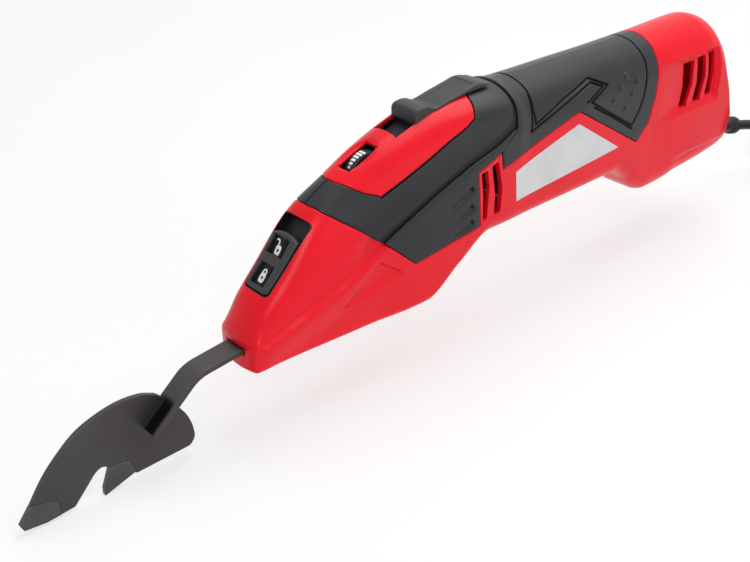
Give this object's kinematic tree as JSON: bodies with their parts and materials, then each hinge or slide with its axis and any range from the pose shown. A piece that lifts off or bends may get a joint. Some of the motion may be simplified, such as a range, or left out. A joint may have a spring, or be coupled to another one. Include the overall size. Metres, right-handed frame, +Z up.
{
  "type": "power scraper",
  "caption": "Hand-held power scraper with a moulded body, soft grip, slide switch, speed dial, blade lock and a bent carbide-tipped blade on a mains lead.",
  "frame": {"origin": "midway along the tool without its lead, on the surface that the rear tooth of the blade touches", "axes": "+X from the blade to the lead, +Y across the tool to its right side, +Z up"},
  "size_m": [0.6452, 0.0808, 0.1378],
  "materials": {
    "red_plastic": "satin moulded",
    "soft_grip": "matte overmould",
    "dark_plastic": "fine grained",
    "label_foil": "satin foil",
    "blade_steel": "dark burnished",
    "carbide": "ground",
    "steel": "machined",
    "laminations": "stacked sheet",
    "copper": "enamelled wire",
    "bronze": "sintered",
    "carbon": "pressed carbon",
    "board": "coated",
    "aluminium": "die cast",
    "cord": "satin sheath",
    "pin_metal": "plated"
  },
  "bodies": {
    "housing": {"shell_left": "red_plastic", "shell_right": "red_plastic", "collar_left": "soft_grip", "collar_right": "soft_grip", "grip_left": "soft_grip", "grip_right": "soft_grip", "top_insert": "red_plastic", "label_left": "label_foil", "label_right": "label_foil", "switch_cell": "dark_plastic", "speed_pot": "dark_plastic", "speed_board": "board", "stator": "laminations", "field_windings": "copper", "bearing_front": "bronze", "bearing_rear": "bronze", "brushes": "carbon", "brush_holders": "bronze", "gear_frame": "aluminium", "guide_front": "bronze", "guide_rear": "bronze", "shell_screws": "steel", "strain_relief": "dark_plastic", "lead": "cord", "lead_coil": "cord", "coil_tie": "dark_plastic", "plug_body": "dark_plastic", "plug_pins": "pin_metal"},
    "armature": {"motor_shaft": "steel", "armature_core": "laminations", "armature_windings": "copper", "commutator": "copper", "fan": "dark_plastic", "pinion": "steel"},
    "crank_drive": {"crown_gear": "steel", "crank": "steel"},
    "blade_carrier": {"blade_holder": "steel", "blade_shank": "blade_steel", "blade_plate": "blade_steel", "front_tip": "carbide", "rear_tip": "carbide"},
    "blade_lock": {"lock_slider": "dark_plastic", "lock_plate": "steel", "lock_latch": "steel"},
    "switch": {"switch_slider": "dark_plastic", "switch_link": "steel"},
    "dial": {"speed_dial": "dark_plastic"}
  },
  "joints": [
    {"name": "armature_spin", "type": "hinge", "parent": "housing", "child": "armature", "pos_m": [0.05503, 0, 0.09545], "axis": [1, 0, 0], "continuous": true},
    {"name": "crank_spin", "type": "hinge", "parent": "housing", "child": "crank_drive", "pos_m": [-0.01808, 0, 0.0775], "axis": [0, 0, 1], "continuous": true},
    {"name": "blade_stroke", "type": "slide", "parent": "housing", "child": "blade_carrier", "axis": [1, 0, 0], "range_m": [-0.001, 0.001]},
    {"name": "lock_slide", "type": "slide", "parent": "housing", "child": "blade_lock", "axis": [0.6694, 0, 0.7429], "range_m": [0, 0.0075]},
    {"name": "switch_slide", "type": "slide", "parent": "housing", "child": "switch", "axis": [-1, 0, 0], "range_m": [0, 0.008]},
    {"name": "dial_turn", "type": "hinge", "parent": "housing", "child": "dial", "pos_m": [-0.05967, -0.0014, 0.1076], "axis": [0, 1, 0], "range_deg": [0, 270]}
  ],
  "couplings": [
    {"joint": "crank_spin", "follows": "armature_spin", "ratio": 0.35429}
  ]
}
